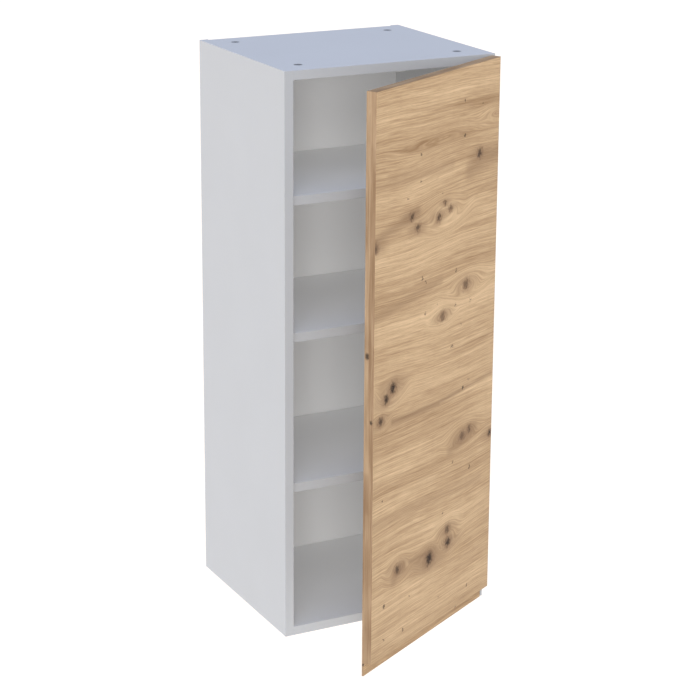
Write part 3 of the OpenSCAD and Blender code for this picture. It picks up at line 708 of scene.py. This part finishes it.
low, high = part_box("wooden_dowels")
dowel = fluted_dowel()
dowels = []
for x in (low.x + DOWEL_LENGTH / 2, high.x - DOWEL_LENGTH / 2):
    for y in (low.y + DOWEL_RADIUS, high.y - DOWEL_RADIUS):
        for z in (low.z + DOWEL_RADIUS, high.z - DOWEL_RADIUS):
            copy = dowel.copy()
            copy.data = dowel.data.copy()
            bpy.context.scene.collection.objects.link(copy)
            copy.location = (x, y, z)
            dowels.append(copy)
bpy.data.objects.remove(dowel)
bpy.ops.object.select_all(action="DESELECT")
for copy in dowels:
    copy.select_set(True)
bpy.context.view_layer.objects.active = dowels[0]
bpy.ops.object.join()
fluted = bpy.context.object
fluted.name = fluted.data.name = "fluted_dowels"
bpy.ops.object.transform_apply(location=True)
dress(fluted, "wooden_dowels")
print("dowels", len(dowels), "faces", made["fluted_dowels"])

# %% [markdown]
# ## The door
# One board with a finger grip milled along its lower edge, and a band on every upright and upper edge.
# The bands are trimmed a little rounder than the carcass, and the top band has its grain along the door.

# %% Door board, bands and bumpers
softened("door_board", "oak_door_board", 0.15 * MM)
softened("door_free_edge_band", "oak_free_edge_band", 0.35 * MM)
softened("door_hinge_edge_band", "oak_hinge_edge_band", 0.35 * MM)
softened("door_top_edge_band", "oak_top_edge_band", 0.35 * MM, finish=oak_top_band)
softened("door_bumpers", "domed_bumpers", 0.7 * MM, steps=4, sharp=ROUND_CORNER)
print("door pieces", [name for name in made if name.startswith("oak")])

# %% [markdown]
# ## The hinges
# Each hinge is a drawn cup in the door, an arm on a plate inside the cabinet, and two links between them
# on riveted pins. Pressed steel is tumbled before it is plated, so its edges get a small radius, and a
# smaller one on the thin outer links, pins and springs.

# %% Cups, arms, plates, links and pins
for level in ("low", "middle", "high"):
    softened("hinge_cup_" + level, "drawn_cup_" + level, 0.2 * MM)
    softened("hinge_arm_" + level, "pressed_arm_" + level, 0.2 * MM, sharp=ROUND_CORNER)
    softened("mounting_plate_" + level, "mounting_plate_cast_" + level, 0.3 * MM, sharp=ROUND_CORNER)
    softened("outer_link_" + level, "outer_link_pressed_" + level, 0.12 * MM, sharp=ROUND_CORNER)
    softened("inner_link_" + level, "inner_link_pressed_" + level, 0.2 * MM, sharp=ROUND_CORNER)
for node in ("arm_pivot_pins", "cup_outer_pivot_pins", "cup_inner_pivot_pins", "sliding_pivot_pins"):
    softened(node, "riveted_" + node, 0.15 * MM, sharp=ROUND_CORNER)
softened("hinge_springs", "leaf_springs", 0.1 * MM)
for node in ("hinge_cup_screws", "mounting_plate_screws", "hinge_adjusting_screws"):
    softened(node, "plated_" + node, 0.2 * MM, sharp=ROUND_CORNER)
print("pieces so far", len(made))

# %% [markdown]
# ## The hangers and the wall rail
# In each top corner a steel hanger under a white cover is plugged into the side, and its hook reaches
# through the back panel's cut-out and over the rail on the wall. The covers are moulded and the rail is
# folded from strip, so these two get the largest radius, in three steps.

# %% Hangers, covers, hooks, screws, plugs and rail
for hand in ("left", "right"):
    softened("hanger_body_" + hand, "hanger_case_" + hand, 0.3 * MM)
    softened("hanger_cover_" + hand, "clip_on_cover_" + hand, 0.5 * MM, steps=3)
    softened("hanger_hook_" + hand, "forged_hook_" + hand, 0.4 * MM)
softened("hanger_adjusting_screws", "hanger_screws_plated", 0.25 * MM, sharp=ROUND_CORNER)
softened("hanger_plugs", "moulded_plugs", 0.3 * MM, sharp=ROUND_CORNER)
softened("wall_rail", "folded_wall_rail", 0.5 * MM, steps=3)

plain = [name for name, node in frame["nodes"].items() if not node.hide_render]
print("pieces", len(made), "frame nodes still shown", plain)

# %% [markdown]
# ## Floor, light and camera
# The cabinet hangs clear of a plain pale floor. A studio would surround it with large soft boxes; here
# suns with a wide spread do the same without any placing. Two white keys come from the front left, at the
# slope that reaches past the open door into the bays, a cool one comes from above, and a fill without
# shadows lifts the bays' corners. The cool light would turn the floor blue, so the floor is tinted warm
# and glows a little, which keeps it pale and neutral.

# %% Pale floor
FLOOR_DROP = 2.5
FLOOR_SIZE = 400
bpy.ops.object.select_all(action="DESELECT")
bpy.ops.mesh.primitive_plane_add(size=FLOOR_SIZE, location=(0, 0, bottom_z - FLOOR_DROP))
floor = bpy.context.object
floor.name = "pale_floor"
pale = Finish("Pale studio floor", Roughness=0.9)
x, y, z = pale.place()
pale.give("Base Color", pale.blend(pale.noise(x * 2, y * 2), paint(252, 243, 226), paint(250, 241, 224)))
pale.give("Emission Color", (1, 0.85, 0.60, 1))
pale.give("Emission Strength", 0.24)
floor.data.materials.append(pale.material)
floor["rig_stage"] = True


# %% Soft lights and a bright surround
def soft_light(name, direction, power, colour, spread, shadows=True):
    light = bpy.data.lights.new(name, "SUN")
    light.use_shadow = shadows
    light.energy = power
    light.color = colour
    light.angle = math.radians(spread)
    lamp = bpy.data.objects.new(name, light)
    lamp.rotation_euler = Vector(direction).to_track_quat("-Z", "Y").to_euler()
    bpy.context.scene.collection.objects.link(lamp)


soft_light("low_key_into_the_bays", (0.5, 1, -0.12), 0.8, (1, 1, 1), 16)
soft_light("high_key_onto_the_shelves", (0.5, 1, -0.9), 1.15, (1, 1, 1), 40)
soft_light("fill_without_shadows", (0.4, 0.7, -1), 1.0, (1, 1, 1), 10, shadows=False)
soft_light("cool_light_from_above", (0.1, 0.2, -1), 1.4, (0.24, 0.46, 1), 90)

surround = bpy.data.worlds.new("Bright surround")
surround.use_nodes = True
surround.node_tree.nodes["Background"].inputs["Color"].default_value = (1, 1, 1, 1)
surround.node_tree.nodes["Background"].inputs["Strength"].default_value = 0.30
bpy.context.scene.world = surround
bpy.context.scene.view_settings.view_transform = "Standard"

# %% [markdown]
# The camera stands in front of the cabinet's left side, well back and above it, with a long lens, so that
# upright edges stay nearly parallel. A small shift puts the cabinet where it belongs in the picture.

# %% Camera
camera_data = bpy.data.cameras.new("studio_camera")
camera_data.lens = 111.36
camera_data.sensor_width = 36
camera_data.shift_x = 0.0385
camera_data.shift_y = -0.0943
camera = bpy.data.objects.new("studio_camera", camera_data)
camera.location = (-1.712, -3.498, 0.707)
pitch, yaw, roll = math.radians(15.81), math.radians(26.69), math.radians(0.18)
aim = Euler((math.pi / 2 - pitch, 0, -yaw)).to_matrix() @ Euler((0, 0, roll)).to_matrix()
camera.rotation_euler = aim.to_euler()
bpy.context.scene.collection.objects.link(camera)
bpy.context.scene.camera = camera

# %% The size of the visual model's box
low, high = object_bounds()
print("size", [round(value, 4) for value in high - low])
